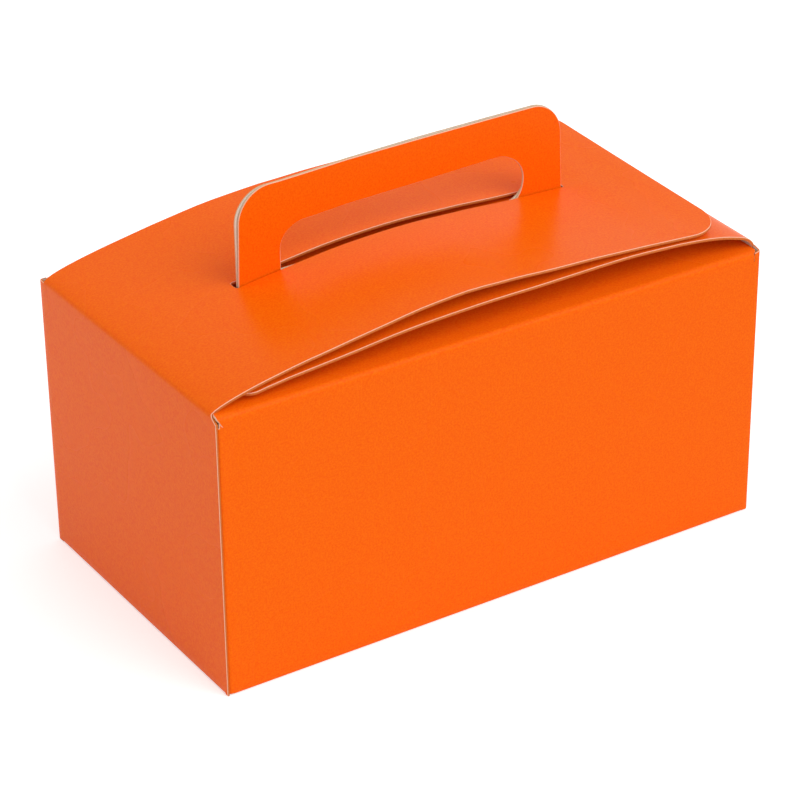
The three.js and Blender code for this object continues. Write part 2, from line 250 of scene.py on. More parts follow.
class CartonFinish(bpy.types.PropertyGroup):
    """Colours and finish of the board"""

    print_colour: colour("Print", "Colour of the printed outside", 255, 113, 9)
    print_shade: colour("Print shade", "Colour of the print's darker specks", 249, 92, 4)
    inside_colour: colour("Inside", "Colour of the unprinted inside", 240, 228, 214)
    # The core colour is partly the board's cut edge and partly painted shade with orange bounce
    # light; the pale core below has none
    core_and_shade_colour: colour(
        "Core", "Colour of the cut edges of the walls, lid and lower flap", 224, 116, 48
    )
    pale_core_colour: colour("Pale core", "Colour of the handle's cut edges", 232, 190, 150)
    # The rim colour is partly the pale board under the print and partly a painted highlight along
    # the cut's top edge
    rim_and_highlight_colour: colour("Rim", "Colour of the torn rim along the print", 255, 196, 166)
    print_roughness: share("Print roughness", "Roughness of the coated print", 0.27)
    print_index: FloatProperty(
        name="Print index",
        description="Refractive index of the print's coating, which sets its sheen",
        default=1.14,
        min=1,
    )
    print_speck: FloatProperty(
        name="Print speck", description="How fine the print's specks are", default=2100, min=1
    )
    grain: share("Grain", "Depth of the print's fine grain", 0.12)


class StageSettings(bpy.types.PropertyGroup):
    """Floor, light and camera"""

    floor_colour: colour("Floor", "Colour of the floor", 240, 240, 240)
    floor_size: FloatProperty(
        name="Floor size", description="Side of the floor", default=12, unit="LENGTH"
    )
    floor_drop: length("Floor drop", "Gap between the carton and the floor", 0.05)
    floor_glow: share("Floor glow", "How much the floor is brightened for the camera", 0.45)
    sky: share("Sky", "Strength of the light from all round", 0.67)
    key: FloatProperty(
        name="Key light", description="Strength of the main light", default=1.2, min=0
    )
    fill: FloatProperty(
        name="Fill light", description="Strength of the light on the left", default=0.05, min=0
    )
    key_way: FloatVectorProperty(
        name="Key way", description="Where the main light comes from", default=(0.30, -0.62, 0.70)
    )
    fill_way: FloatVectorProperty(
        name="Fill way", description="Where the left light comes from", default=(-0.62, -0.25, 0.74)
    )
    lamp_spread: angle("Lamp spread", "How wide each light looks from the carton", 50)
    camera_place: FloatVectorProperty(
        name="Camera place",
        description="Where the camera stands",
        default=(-0.3411633, -0.5329645, 0.3789059),
        size=3,
        subtype="TRANSLATION",
        unit="LENGTH",
    )
    camera_turn: FloatVectorProperty(
        name="Camera turn",
        description="How the camera is turned",
        default=(math.radians(61.45858), math.radians(0.597652), math.radians(-32.866084)),
        size=3,
        subtype="EULER",
        unit="ROTATION",
    )
    lens: FloatProperty(
        name="Lens", description="Focal length in millimetres", default=133.18, min=1
    )
    lens_shift: FloatProperty(
        name="Lens shift", description="Upward shift of the lens", default=0.0008
    )


# Small rises of the curved flaps over their plain arches, in millimetres: place along the box,
# at the front edge, along the middle and at the back edge
LID_TRIM = (
    (-66, 0, 0, 0),
    (-54, -0.15, -0.3, 0.03),
    (-43, -0.4, -0.5, 0.2),
    (-32, -0.33, -0.55, 0.38),
    (-19, 0.03, -0.4, 0.15),
    (-9, 0.03, -0.5, -0.15),
    (2, -0.4, -0.55, -0.15),
    (15, -0.58, -0.75, -0.05),
    (30, -0.3, -1.15, 0.35),
    (45, -0.18, -1.1, 0.65),
    (56, -0.16, -0.45, 0.7),
    (67, -0.15, 0.2, 0.75),
)
LOWER_TRIM = (
    (-64, 0, 0, 0),
    (-57, 0.3, 0.1, 0),
    (-50, 0.22, 0.1, 0),
    (-40, 0.15, 0.1, 0),
    (-24, 0.42, 0.2, 0),
    (-5, 0.3, 0.15, 0),
    (12, 0.1, 0.05, 0),
    (36, 0.32, 0.15, 0),
    (50, 0.05, 0, 0.35),
    (60, -0.1, 0, 0.5),
    (69, -0.25, 0.15, 0.35),
    (73, 0, 0.3, 0.4),
)
# How much lower or higher the handle is along its top, in millimetres: place along the box,
# height of the front board and of the rear board
HANDLE_TRIM = (
    (-46, -1.65, -2.0),
    (-33, -1.42, -1.7),
    (-25, -1.1, -1.3),
    (-15, -0.62, -0.75),
    (5, -0.32, -0.2),
    (25, -0.1, 0),
    (40, 0, 0),
)
# Sides of the front's inner flap in the flat, in millimetres: whether the place is counted from
# the crease's end, the place, and how far the side goes past the flap's plain width
FLAP_LEFT = ((False, 1.9, 1.2), (False, 2.6, 1.25), (True, 0, 1.3), (True, 0.9, 1), (True, 2.5, 0))
FLAP_RIGHT = (
    (False, 2.6, 0.95),
    (True, 0, 0.95),
    (True, 0.9, 0.95),
    (True, 2.5, 0.95),
    (True, 14, 0.5),
)
# How much higher the hand hole's top is along its length: place along the box, height
HOLE_TRIM = ((-25, -0.2), (-14, 0), (-6, 0.15), (10, 0.2), (19, 0.38), (27, 0.7), (31, 0.1))


# Selecting and turning

def only(piece):
    """Makes one object the selected and active one."""
    bpy.ops.object.select_all(action="DESELECT")
    piece.select_set(True)
    bpy.context.view_layer.objects.active = piece


def edit(piece=None):
    """Enters edit mode, on a given piece or on the active one."""
    if piece:
        only(piece)
    bpy.ops.object.mode_set(mode="EDIT")


def leave():
    bpy.ops.object.mode_set(mode="OBJECT")


def middle(part):
    """Middle of a vertex, edge or face."""
    if isinstance(part, bmesh.types.BMVert):
        return part.co
    return sum((v.co for v in part.verts), Vector()) / len(part.verts)


def choose(kind, test):
    """In edit mode, selects only the vertices, edges or faces that pass a test. Says how many."""
    bpy.ops.mesh.select_mode(type=kind)
    bpy.ops.mesh.select_all(action="DESELECT")
    mesh = bpy.context.object.data
    shape = bmesh.from_edit_mesh(mesh)
    parts = {"VERT": shape.verts, "EDGE": shape.edges, "FACE": shape.faces}[kind]
    chosen = [part for part in parts if test(part)]
    for part in chosen:
        part.select_set(True)
    bmesh.update_edit_mesh(mesh)
    return len(chosen)


def turn(amount, axis, centre=(0, 0, 0)):
    """Turns what is selected. About Y, a positive amount turns +X towards +Z."""
    bpy.ops.transform.rotate(
        value=amount, orient_axis=axis, orient_type="GLOBAL", center_override=centre
    )


def near(a, b, slack=2e-5):
    return abs(a - b) < slack


def choose_all():
    bpy.ops.mesh.select_all(action="SELECT")


def choose_corner(x, y):
    """Selects the vertex at a place of the flat piece. Says how many there are."""
    return choose("VERT", lambda v: near(v.co.x, x) and near(v.co.y, y))


def move(x=0.0, y=0.0, z=0.0):
    """Moves what is selected."""
    bpy.ops.transform.translate(value=(x, y, z))


def widen(place, ratio, centre=0.0):
    """Stretches the outline's edge that lies across the fold path at a place."""
    choose("EDGE", outline_edge(0, place))
    bpy.ops.transform.resize(
        value=(1, ratio, 1), center_override=(place, centre, 0), orient_type="GLOBAL"
    )


# Cutting a flat blank. Flat pieces lie with X along the fold path and the print upwards

def blank(name, x0, y0, x1, y1):
    """A flat rectangle, left in edit mode."""
    bpy.ops.object.select_all(action="DESELECT")
    bpy.ops.mesh.primitive_plane_add(size=1, location=((x0 + x1) / 2, (y0 + y1) / 2, 0))
    piece = bpy.context.object
    piece.name = name
    piece.data.name = name
    piece.scale = (x1 - x0, y1 - y0, 1)
    bpy.ops.object.transform_apply(location=True, rotation=True, scale=True)
    edit()
    return piece


def outline_edge(axis, place, low=-1.0, high=1.0):
    """A test for outline edges on a line across one axis, between two bounds on the other."""
    def test(edge):
        if len(edge.link_faces) != 1:
            return False
        centre = middle(edge)
        on_line = all(near(v.co[axis], place) for v in edge.verts)
        return on_line and low < centre[1 - axis] < high
    return test


def pull(test, move):
    """Extrudes the chosen outline edges within the flat plane."""
    if not choose("EDGE", test):
        raise RuntimeError("no edge to pull out")
    bpy.ops.mesh.extrude_region_move(TRANSFORM_OT_translate={"value": (*move, 0)})


def split(place, axis):
    """Cuts the whole flat piece along a line across one axis."""
    at = [0, 0, 0]
    normal = [0, 0, 0]
    at[axis] = place
    normal[axis] = 1
    choose_all()
    bpy.ops.mesh.bisect(plane_co=at, plane_no=normal)


def round_corner(x, y, radius, segments=12):
    """Rounds one corner of the outline."""
    if not choose_corner(x, y):
        raise RuntimeError("no corner to round")
    bpy.ops.mesh.bevel(offset=radius, affect="VERTICES", segments=segments, profile=0.5)


def thicken(board, above=None):
    """Gives a flat outline the board's thickness and leaves edit mode. Half of it, or a given
    part, is above the flat plane."""
    below = board / 2 if above is None else board - above
    choose_all()
    bpy.ops.mesh.extrude_region_move(TRANSFORM_OT_translate={"value": (0, 0, board)})
    choose_all()
    move(z=-below)
    bpy.ops.mesh.normals_make_consistent(inside=False)
    leave()


def cut_window(piece, x0, y0, x1, y1, corners, depth=2 * MM):
    """Cuts a window with rounded corners through a flat piece. Corners are low left, low right,
    high right and high left."""
    cutter = blank("window", x0, y0, x1, y1)
    for (x, y), radius in zip([(x0, y0), (x1, y0), (x1, y1), (x0, y1)], corners):
        if radius:
            round_corner(x, y, radius)
    thicken(depth)
    only(piece)
    bpy.ops.object.modifier_add(type="BOOLEAN")
    window = piece.modifiers[-1]
    window.operation = "DIFFERENCE"
    window.solver = "EXACT"
    window.object = cutter
    bpy.ops.object.modifier_apply(modifier=window.name)
    bpy.data.objects.remove(cutter)


def colour_faces(piece, rim, seam, core=CORE_AND_SHADE):
    """Print above, plain board below, the board's core at the cuts, and a narrow pale rim where
    the print ends. The core's default finish carries painted shade, and the rim is partly pale
    board and partly a painted highlight. Seams, which meet the next panel, get no rim."""
    for finish in board_finishes():
        piece.data.materials.append(finish)
    for face in piece.data.polygons:
        if abs(face.normal.z) < 0.5:
            face.material_index = core
        else:
            face.material_index = PRINT if face.normal.z > 0 else INSIDE
    edit(piece)

    def printed_rim(edge):
        heights = sorted(face.normal.z for face in edge.link_faces)
        return len(heights) == 2 and heights[0] < 0.5 < heights[1] and not seam(middle(edge))

    choose("EDGE", printed_rim)
    bpy.ops.mesh.bevel(offset=rim, offset_type="OFFSET", segments=1, affect="EDGES", material=RIM_AND_HIGHLIGHT)
    leave()


# Folding a flat piece along a path

def rounded(corners, steps):
    """A path of points in X and Z whose corners, given as (x, z, radius), are rounded."""
    path = []
    for i, (x, z, radius) in enumerate(corners):
        here = Vector((x, z))
        if i in (0, len(corners) - 1) or not radius:
            path.append(here)
            continue
        before = (Vector(corners[i - 1][:2]) - here).normalized()
        after = (Vector(corners[i + 1][:2]) - here).normalized()
        half = before.angle(after) / 2
        reach = radius / math.tan(half)
        centre = here + (before + after).normalized() * radius / math.sin(half)
        start = here + before * reach - centre
        sweep = start.angle_signed(here + after * reach - centre)
        for step in range(steps + 1):
            arm = start.copy()
            arm.rotate(Matrix.Rotation(-sweep * step / steps, 2))
            path.append(centre + arm)
    return path


def bezier(start, first, second, end, steps):
    """Points along a curve in X and Z."""
    points = interpolate_bezier(
        *(Vector((p[0], p[1], 0)) for p in (start, first, second, end)), steps + 1
    )
    return [p.to_2d() for p in points]


def stations(path):
    """Distance of each point of a path from its start."""
    places = [0.0]
    for a, b in zip(path, path[1:]):
        places.append(places[-1] + (b - a).length)
    return places


def station_near(path, x=None, z=None):
    """How far along a path a place is, given by X, Z or both."""
    best = (1e9, 0.0)
    walked = 0.0
    for a, b in zip(path, path[1:]):
        step = b - a
        aim = Vector((0 if x is None else x - a.x, 0 if z is None else z - a.y))
        way = Vector((0 if x is None else step.x, 0 if z is None else step.y))
        along = aim.dot(way) / way.length_squared if way.length_squared else 0
        along = min(1, max(0, along))
        off = (aim - way * along).length
        if off < best[0] - 1e-9:
            best = (off, walked + step.length * along)
        walked += step.length
    return best[1]


def fold(piece, path):
    """Bends a flat piece along a path, from its far end to its near end. The piece's X is the
    distance along the path, and the path runs through the board's middle."""
    places = stations(path)
    headings = [math.atan2(b.y - a.y, b.x - a.x) for a, b in zip(path, path[1:])]
    edit(piece)
    bpy.ops.mesh.select_mode(type="VERT")
    for place in places[1:-1]:
        split(place, 0)
    leave()
    flat = [v.co.x for v in piece.data.vertices]
    edit()
    for i in range(len(places) - 2, 0, -1):
        bend = headings[i] - headings[i - 1]
        bend = (bend + math.pi) % (2 * math.pi) - math.pi
        if abs(bend) < 1e-6:
            continue
        for least in (places[i] - 1e-6, places[i] + 1e-6):
            choose("VERT", lambda v: flat[v.index] > least)
            turn(bend / 2, "Y", (places[i], 0, 0))
    choose_all()
    turn(headings[0], "Y")
    move(path[0].x, 0, path[0].y)
    leave()


def lift(piece, height, direction="Z"):
    """Raises a piece by height(place), up or down, or moves it so along another axis."""
    heights = [height(v.co) for v in piece.data.vertices]
    for way in (1, -1):
        most = max(way * h for h in heights)
        if most <= 0:
            continue
        group = piece.vertex_groups.new(name="lift")
        for i, h in enumerate(heights):
            group.add([i], max(0, way * h / most), "REPLACE")
        only(piece)
        bpy.ops.object.modifier_add(type="DISPLACE")
        raise_up = piece.modifiers[-1]
        raise_up.direction = direction
        raise_up.mid_level = 0
        raise_up.strength = way * most
        raise_up.vertex_group = group.name
        bpy.ops.object.modifier_apply(modifier=raise_up.name)
        piece.vertex_groups.clear()


def read_off(table, place, column=1):
    """A value out of a table whose rows start with their place, smooth from row to row, in
    millimetres."""
    place /= MM
    if place <= table[0][0]:
        return table[0][column] * MM
    for low, high in zip(table, table[1:]):
        if place <= high[0]:
            t = (place - low[0]) / (high[0] - low[0])
            t = t * t * (3 - 2 * t)
            return (low[column] * (1 - t) + high[column] * t) * MM
    return table[-1][column] * MM


def settle(piece, body, node, quarter_turns=0, upside_down=False):
    """Turns a folded piece to its own side of the box and hangs it on its body."""
    edit(piece)
    choose_all()
    if upside_down:
        turn(math.pi, "X")
    if quarter_turns:
        turn(-quarter_turns * math.pi / 2, "Z")
    leave()
    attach(piece, body)
    dress(piece, node)


def dress(piece, node):
    """Smooths a piece and hides the part of the model that it stands for."""
    only(piece)
    bpy.ops.object.shade_smooth_by_angle(angle=SMOOTH_ANGLE)
    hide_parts(node)


# Finishes

def node_maker(material):
    """Clears a material and returns a function that adds nodes to it."""
    material.use_nodes = True
    tree = material.node_tree
    tree.nodes.clear()

    def add(kind, inputs=None, **settings):
        node = tree.nodes.new(kind)
        for key, value in settings.items():
            setattr(node, key, value)
        for key, value in (inputs or {}).items():
            if isinstance(value, bpy.types.NodeSocket):
                tree.links.new(value, node.inputs[key])
            else:
                node.inputs[key].default_value = value
        return node

    return add


def background_rays(add):
    """1 for the rays that show the background: the camera's and those from metal or glass."""
    rays = add("ShaderNodeLightPath")
    shown = add(
        "ShaderNodeMath",
        {0: rays.outputs["Is Camera Ray"], 1: rays.outputs["Is Glossy Ray"]},
        operation="MAXIMUM",
    )
    shown = add(
        "ShaderNodeMath",
        {0: shown.outputs[0], 1: rays.outputs["Is Transmission Ray"]},
        operation="MAXIMUM",
    )
    return shown.outputs[0]


def mottled(add, tone, darker, scale):
    """A colour that varies a little from place to place, on the object's own coordinates."""
    place = add("ShaderNodeTexCoord").outputs["Object"]
    noise = add(
        "ShaderNodeTexNoise", {"Vector": place, "Scale": scale, "Detail": 4.0, "Roughness": 0.6}
    )
    ramp = add("ShaderNodeValToRGB", {"Fac": noise.outputs["Fac"]})
    ramp.color_ramp.elements[0].position = 0.35
    ramp.color_ramp.elements[0].color = (*darker, 1)
    ramp.color_ramp.elements[1].position = 0.65
    ramp.color_ramp.elements[1].color = (*tone, 1)
    return place, ramp.outputs["Color"]


def print_finish(finish):
    """Orange ink under a satin coating, with the paper's fine grain and slight waves."""
    material = bpy.data.materials.new("orange_print")
    add = node_maker(material)
    place, tone = mottled(add, finish.print_colour, finish.print_shade, finish.print_speck)
    waves = add("ShaderNodeTexNoise", {"Vector": place, "Scale": 26.0, "Detail": 2.0})
    fine = add(
        "ShaderNodeTexNoise", {"Vector": place, "Scale": 2600.0, "Detail": 3.0, "Roughness": 0.65}
    )
    gloss = add(
        "ShaderNodeMapRange",
        {
            "Value": waves.outputs["Fac"],
            "To Min": finish.print_roughness - 0.03,
            "To Max": finish.print_roughness + 0.04,
        },
    )
    wavy = add(
        "ShaderNodeBump", {"Height": waves.outputs["Fac"], "Strength": 0.12, "Distance": 0.0006}
    )
    grain = add(
        "ShaderNodeBump",
        {
            "Height": fine.outputs["Fac"],
            "Strength": finish.grain,
            "Distance": FIBRE_DEPTH,
            "Normal": wavy.outputs["Normal"],
        },
    )
    shader = add(
        "ShaderNodeBsdfPrincipled",
        {
            "Base Color": tone,
            "Roughness": gloss.outputs["Result"],
            "IOR": finish.print_index,
            "Normal": grain.outputs["Normal"],
        },
    )
    add("ShaderNodeOutputMaterial", {"Surface": shader.outputs["BSDF"]})
    return material


def paper_finish(name, tone, depth, scale, bump):
    """Uncoated board: dull, with fibres."""
    material = bpy.data.materials.new(name)
    add = node_maker(material)
    place, colour_out = mottled(add, tone, [c * (1 - depth) for c in tone], scale)
    fibres = add(
        "ShaderNodeTexNoise",
        {"Vector": place, "Scale": scale * 2.5, "Detail": 5.0, "Roughness": 0.7},
    )
    relief = add(
        "ShaderNodeBump",
        {"Height": fibres.outputs["Fac"], "Strength": bump, "Distance": FIBRE_DEPTH},
    )
    shader = add(
        "ShaderNodeBsdfPrincipled",
        {
            "Base Color": colour_out,
            "Roughness": 0.85,
            "Specular IOR Level": 0.2,
            "Normal": relief.outputs["Normal"],
        },
    )
    add("ShaderNodeOutputMaterial", {"Surface": shader.outputs["BSDF"]})
    return material


def board_finishes():
    """The finishes of the board, made once: print, inside, core with painted shade, rim with a
    painted highlight, and pale core.
    """
    names = ("orange_print", "plain_inside", "board_core_and_shade", "torn_rim_and_highlight", "pale_core")
    if names[0] not in bpy.data.materials:
        finish = bpy.context.scene.carton_finish
        print_finish(finish)
        paper_finish(names[1], finish.inside_colour, 0.1, 1400, 0.25)
        # The core's colour carries painted shade and orange bounce light, darker than the pale core
        # of the handle
        paper_finish(names[2], finish.core_and_shade_colour, 0.22, 3200, 0.35)
        # The rim's colour is partly pale board and partly a painted highlight
        paper_finish(names[3], finish.rim_and_highlight_colour, 0.12, 2600, 0.3)
        paper_finish(names[4], finish.pale_core_colour, 0.15, 3200, 0.35)
    return [bpy.data.materials[name] for name in names]


# The fold paths

def wall_x(sizes, across):
    """Middle of a wall, in the plane of its fold path, for the box's size across."""
    return -(across - sizes.board) / 2


def raised_point(sizes, x, rise):
    """A point of a flap's path, given by its height over the walls."""
    return Vector((x, sizes.height + rise - sizes.board / 2))


def lid_path(sizes):
    """Left wall, crease, then the lid's arch at its back edge's crown height."""
    hinge = Vector((wall_x(sizes, sizes.length), sizes.height - sizes.board / 2))
    leave_way = Vector((math.cos(sizes.lid_root_angle), math.sin(sizes.lid_root_angle)))
    start = hinge + leave_way * (sizes.board / 2 + ROOT_STEP)
    crown = raised_point(sizes, 0, sizes.lid_crown_rise)
    end = raised_point(sizes, sizes.length / 2 - sizes.lid_end_gap, sizes.lid_end_rise)
    fall = Vector((-math.cos(sizes.lid_end_angle), math.sin(sizes.lid_end_angle)))
    steps = sizes.bend_steps // 2
    crease = rounded(
        [(hinge.x, sizes.height - sizes.top_seam, 0), (*hinge, sizes.lid_crease), (*start, 0)],
        sizes.arc_steps,
    )
    rise = bezier(
        start, start + leave_way * sizes.lid_root_arm, (-sizes.lid_crown_arm, crown.y), crown, steps
    )
    drop = bezier(
        crown, (sizes.lid_crown_end_arm, crown.y), end + fall * sizes.lid_end_arm, end, steps
    )
    if (crease[-1] - crease[-2]).length < 5e-5:
        crease.pop(-2)
    return crease + rise[1:] + drop[1:]


def lower_path(sizes):
    """Right wall, soft bend, then the lower flap's arch, drawn as if it stood at the left."""
    root = Vector((wall_x(sizes, sizes.length), sizes.height - sizes.board))
    crest = raised_point(sizes, -sizes.lower_crest, sizes.lower_crest_rise)
    end = raised_point(sizes, sizes.length / 2 - sizes.lower_end_gap, sizes.lower_end_rise)
    fall = Vector((-math.cos(sizes.lower_end_angle), math.sin(sizes.lower_end_angle)))
    steps = sizes.bend_steps // 2
    rise = bezier(
        root,
        (root.x, root.y + sizes.lower_root_arm),
        (crest.x - sizes.lower_crest_arm, crest.y),
        crest,
        steps,
    )
    arm = sizes.lower_fall_arm
    drop = bezier(crest, (crest.x + arm, crest.y), end + fall * arm, end, steps)
    return [Vector((root.x, sizes.height - sizes.top_seam))] + rise + drop[1:]


def handle_path(sizes, lean):
    """Long wall, soft crease, inner flap up to the ridge, then the handle board."""
    wall = wall_x(sizes, sizes.width)
    foot = -sizes.handle_gap / 2 - sizes.board / 2
    slope = sizes.ridge_rise / (sizes.width / 2)
    level = sizes.height - sizes.board / 2
    ridge = level + sizes.ridge_rise
    top = sizes.ridge_rise + sizes.height + sizes.handle_height * math.cos(lean)
    corners = [
        (wall, sizes.height - sizes.top_seam, 0),
        (wall, level + slope * (wall + sizes.width / 2), sizes.soft_crease),
        (foot, ridge + slope * foot, sizes.ridge_crease),
        (foot - (top - ridge) * math.tan(lean), top, 0),
    ]
    return rounded(corners, sizes.arc_steps)


def floor_path(sizes, across, reach, height, run):
    """A wall's foot, crease and bottom flap, drawn upside down with the floor as nought. The flap
    climbs to its own height over a short run."""
    wall = wall_x(sizes, across)
    half = sizes.board / 2
    corners = [
        (wall, -sizes.floor_seam, 0),
        (wall, -half, sizes.floor_crease),
        (wall + run, -half - height, 0),
        (reach, -half - height, 0),
    ]
    return rounded(corners, sizes.arc_steps)


# Operators

class CARTON_OT_walls(bpy.types.Operator):
    """Cuts the four walls and the glue tab from one strip and folds it round"""

    bl_idname = "carton.walls"
    bl_label = "Fold Walls"

    def execute(self, context):
        sizes = context.scene.carton_sizes
        x = (sizes.length - sizes.board) / 2
        y = (sizes.width - sizes.board) / 2
        tab_x = -x + sizes.board + sizes.tab_gap
        radius = sizes.crease
        corners = [
            (tab_x, y - sizes.glue_tab, 0),
            (tab_x, y, radius * 0.7),
            (x, y, radius),
            (x, -y, radius),
            (-x, -y, radius),
            (-x, sizes.width / 2, 0),
        ]
        path = rounded(corners, sizes.arc_steps)
        far = stations(path)[-1]
        long_stop = sizes.length / 2 - sizes.relief
        short_stop = sizes.width / 2 - sizes.flap_inset
        low, high = sizes.floor_seam, sizes.height - sizes.top_seam
        ears = [
            (station_near(path, long_stop, y), station_near(path, x, short_stop)),
            (station_near(path, x, -short_stop), station_near(path, long_stop, -y)),
            (station_near(path, -long_stop, -y), station_near(path, -x, -short_stop)),
        ]
        tab_end = station_near(path, tab_x, y - sizes.tab_step)
        front_start = station_near(path, -long_stop, y)
        walls = blank("walls", tab_end, low, far, high)
        for ear in ears:
            for edge in ear:
                split(edge, 0)
        split(front_start, 0)
        left_foot = station_near(path, -x, sizes.width / 2 - sizes.side_flap_gap)
        split(left_foot, 0)
        pull(outline_edge(0, tab_end), (-tab_end, 0))
        squeeze = (high - low - 2 * (sizes.glue_tab_inset - low)) / (high - low)
        widen(0, squeeze, (high + low) / 2)
        tab_fold = station_near(path, tab_x, y) + sizes.tab_fold
        split(tab_fold, 0)
        pull(outline_edge(1, high, tab_fold, front_start), (0, sizes.tab_rise))
        choose_corner(front_start, high + sizes.tab_rise)
        move(y=-sizes.tab_slant)
        for start, stop in ears:
            pull(outline_edge(1, high, start, stop), (0, sizes.top_seam - sizes.ear_gap))
            pull(outline_edge(1, low, start, stop), (0, sizes.ear_foot - low))
        ear_top = high + sizes.top_seam - sizes.ear_gap
        choose_corner(ears[0][1], ear_top)
        move(y=sizes.ear_rise)
        pull(outline_edge(1, low, tab_end, front_start), (0, sizes.tab_foot - low))
        pull(outline_edge(1, low, left_foot, far), (0, sizes.ear_foot - low))
        round_corner(tab_end, sizes.tab_foot, sizes.tab_corner)
        thicken(sizes.board)
        bounds = [front_start, left_foot, *(edge for ear in ears for edge in ear)]

        def seam(place):
            level = near(place.y, low) or near(place.y, high)
            inner = tab_end < place.x
            return inner and (level or any(near(place.x, edge) for edge in bounds))

        colour_faces(walls, sizes.rim, seam)
        fold(walls, path)
        edit(walls)
        choose_all()
        turn(-math.pi / 2, "X")
        leave()
        settle(walls, "carton", "carton")
        return {"FINISHED"}


class CARTON_OT_handle_boards(bpy.types.Operator):
    """Cuts and folds the two inner flaps that stand up as the carry handle"""

    bl_idname = "carton.handle_boards"
    bl_label = "Fold Handle Boards"

    def execute(self, context):
        sizes = context.scene.carton_sizes
        self.board("handle_front", sizes, True)
        self.board("handle_rear", sizes, False)
        return {"FINISHED"}

    def board(self, name, sizes, front):
        """Cuts and folds one board. In the flat, its Y runs to the left in front and to the right
        at the back."""
        quarter_turns = 1 if front else -1
        shift = -quarter_turns * sizes.handle_shift
        top_shift = 0 if front else -sizes.rear_top_shift
        taper = sizes.handle_taper if front else sizes.rear_taper
        path = handle_path(sizes, 0 if front else sizes.rear_lean)
        places = stations(path)
        crease_end = places[sizes.arc_steps + 1]
        foot = station_near(path, *path[-sizes.arc_steps // 2 - 2])
        top = places[-1]
        wide = sizes.length / 2 - sizes.relief
        half = sizes.handle_length / 2
        narrow = half + sizes.shoulder
        panel = blank(name, 0, -wide, crease_end, wide)
        pull(outline_edge(0, crease_end), (foot - crease_end, 0))
        widen(foot, narrow / wide)
        move(y=shift)
        if front:
            self.fit_sides(crease_end, wide)
        for side in (-1, 1):
            split(side * half + shift, 1)
        pull(outline_edge(0, foot, shift - half, shift + half), (top - foot, 0))
        top_half = half - (top - foot) * math.tan(taper)
        widen(top, top_half / half, shift)
        move(y=top_shift)
        for side in (-1, 1):
            round_corner(top, side * top_half + shift + top_shift, sizes.handle_corner, 14)
        thicken(sizes.board)
        hole_top = top - sizes.hole_band
        hole_half = sizes.hole_length / 2
        corner = sizes.hole_corner
        low, high = shift - hole_half, shift + hole_half
        if front:
            bottom = hole_top - sizes.hole_height
            corners = [sizes.hole_low_corner, corner, corner, 0]
        else:
            bottom = hole_top - sizes.rear_hole_height
            high += sizes.rear_hole_reach
            corners = [0, corner, corner, sizes.rear_hole_low_corner]
        cut_window(panel, bottom, low, hole_top, high, corners)
        colour_faces(panel, sizes.rim, lambda place: near(place.x, 0), PALE_CORE)
        edit(panel)
        for row in HANDLE_TRIM[1:-1]:
            split(-quarter_turns * row[0] * MM, 1)
        leave()

        def trim(place):
            height = min(1, max(0, (place.x - foot) / (hole_top - foot)))
            by_hole = max(0, 1 - abs(place.x - hole_top) / HOLE_TRIM_REACH)
            right = -quarter_turns * place.y
            raised = height * read_off(HANDLE_TRIM, right, 1 if front else 2)
            return raised + by_hole * read_off(HOLE_TRIM, right)

        lift(panel, trim, "X")
        fold(panel, path)
        settle(panel, "carton", "carton", quarter_turns)

    def fit_sides(self, crease_end, wide):
        """Sets the two sides of the front's inner flap row by row: its left end fills the slanted
        cut in the lid's crease, and its right side runs straight before it narrows."""
        left_rows, right_rows = (
            {(crease_end if past else 0) + row * MM: reach * MM for past, row, reach in table}
            for table in (FLAP_LEFT, FLAP_RIGHT)
        )
        for row in {**left_rows, **right_rows}:
            split(row, 0)
        for side, rows in ((1, left_rows), (-1, right_rows)):
            for row, reach in rows.items():
                choose("VERT", lambda v: near(v.co.x, row) and v.co.y * side > 0)
                shape = bmesh.from_edit_mesh(bpy.context.object.data)
                here = max(abs(v.co.y) for v in shape.verts if v.select)
                move(y=side * (wide + reach - here))


class CARTON_OT_lower_flap(bpy.types.Operator):
    """Cuts and bends the lower flap, which the lid lies on"""

    bl_idname = "carton.lower_flap"
    bl_label = "Bend Lower Flap"

    def execute(self, context):
        sizes = context.scene.carton_sizes
        path = lower_path(sizes)
        far = stations(path)[-1]
        half = sizes.width / 2 - sizes.flap_inset
        flap = blank("lower_flap", 0, -half, far, half)
        for side in (-1, 1):
            round_corner(far, side * half, sizes.lower_corner)
        thicken(sizes.flap_board, sizes.board / 2)
        clear = sizes.handle_length / 2 + sizes.lower_slot_clearance
        start, end = (station_near(path, -sizes.handle_shift + way * clear) for way in (-1, 1))
        cut_window(
            flap, start, -sizes.lower_slot_back, end, slot_front(sizes), [sizes.slot_corner] * 4
        )
        colour_faces(flap, sizes.rim, lambda place: near(place.x, 0))
        add_rows(flap, half, sizes.rows)
        fold(flap, path)
        root = wall_x(sizes, sizes.length)
        crest = -sizes.lower_crest

        def rise(place):
            if place.z < sizes.height - sizes.board:
                return 0
            trim = trimmed(LOWER_TRIM, -place.x, -place.y, half)
            if place.x > crest:
                return trim
            across = (half - place.y) / (2 * half)
            t = curve_share(root, root, crest - sizes.lower_crest_arm, crest, place.x)
            return trim + across * 3 * (1 - t) * t * sizes.lower_bulge

        lift(flap, rise)
        settle(flap, "carton", "carton", 2)
        return {"FINISHED"}


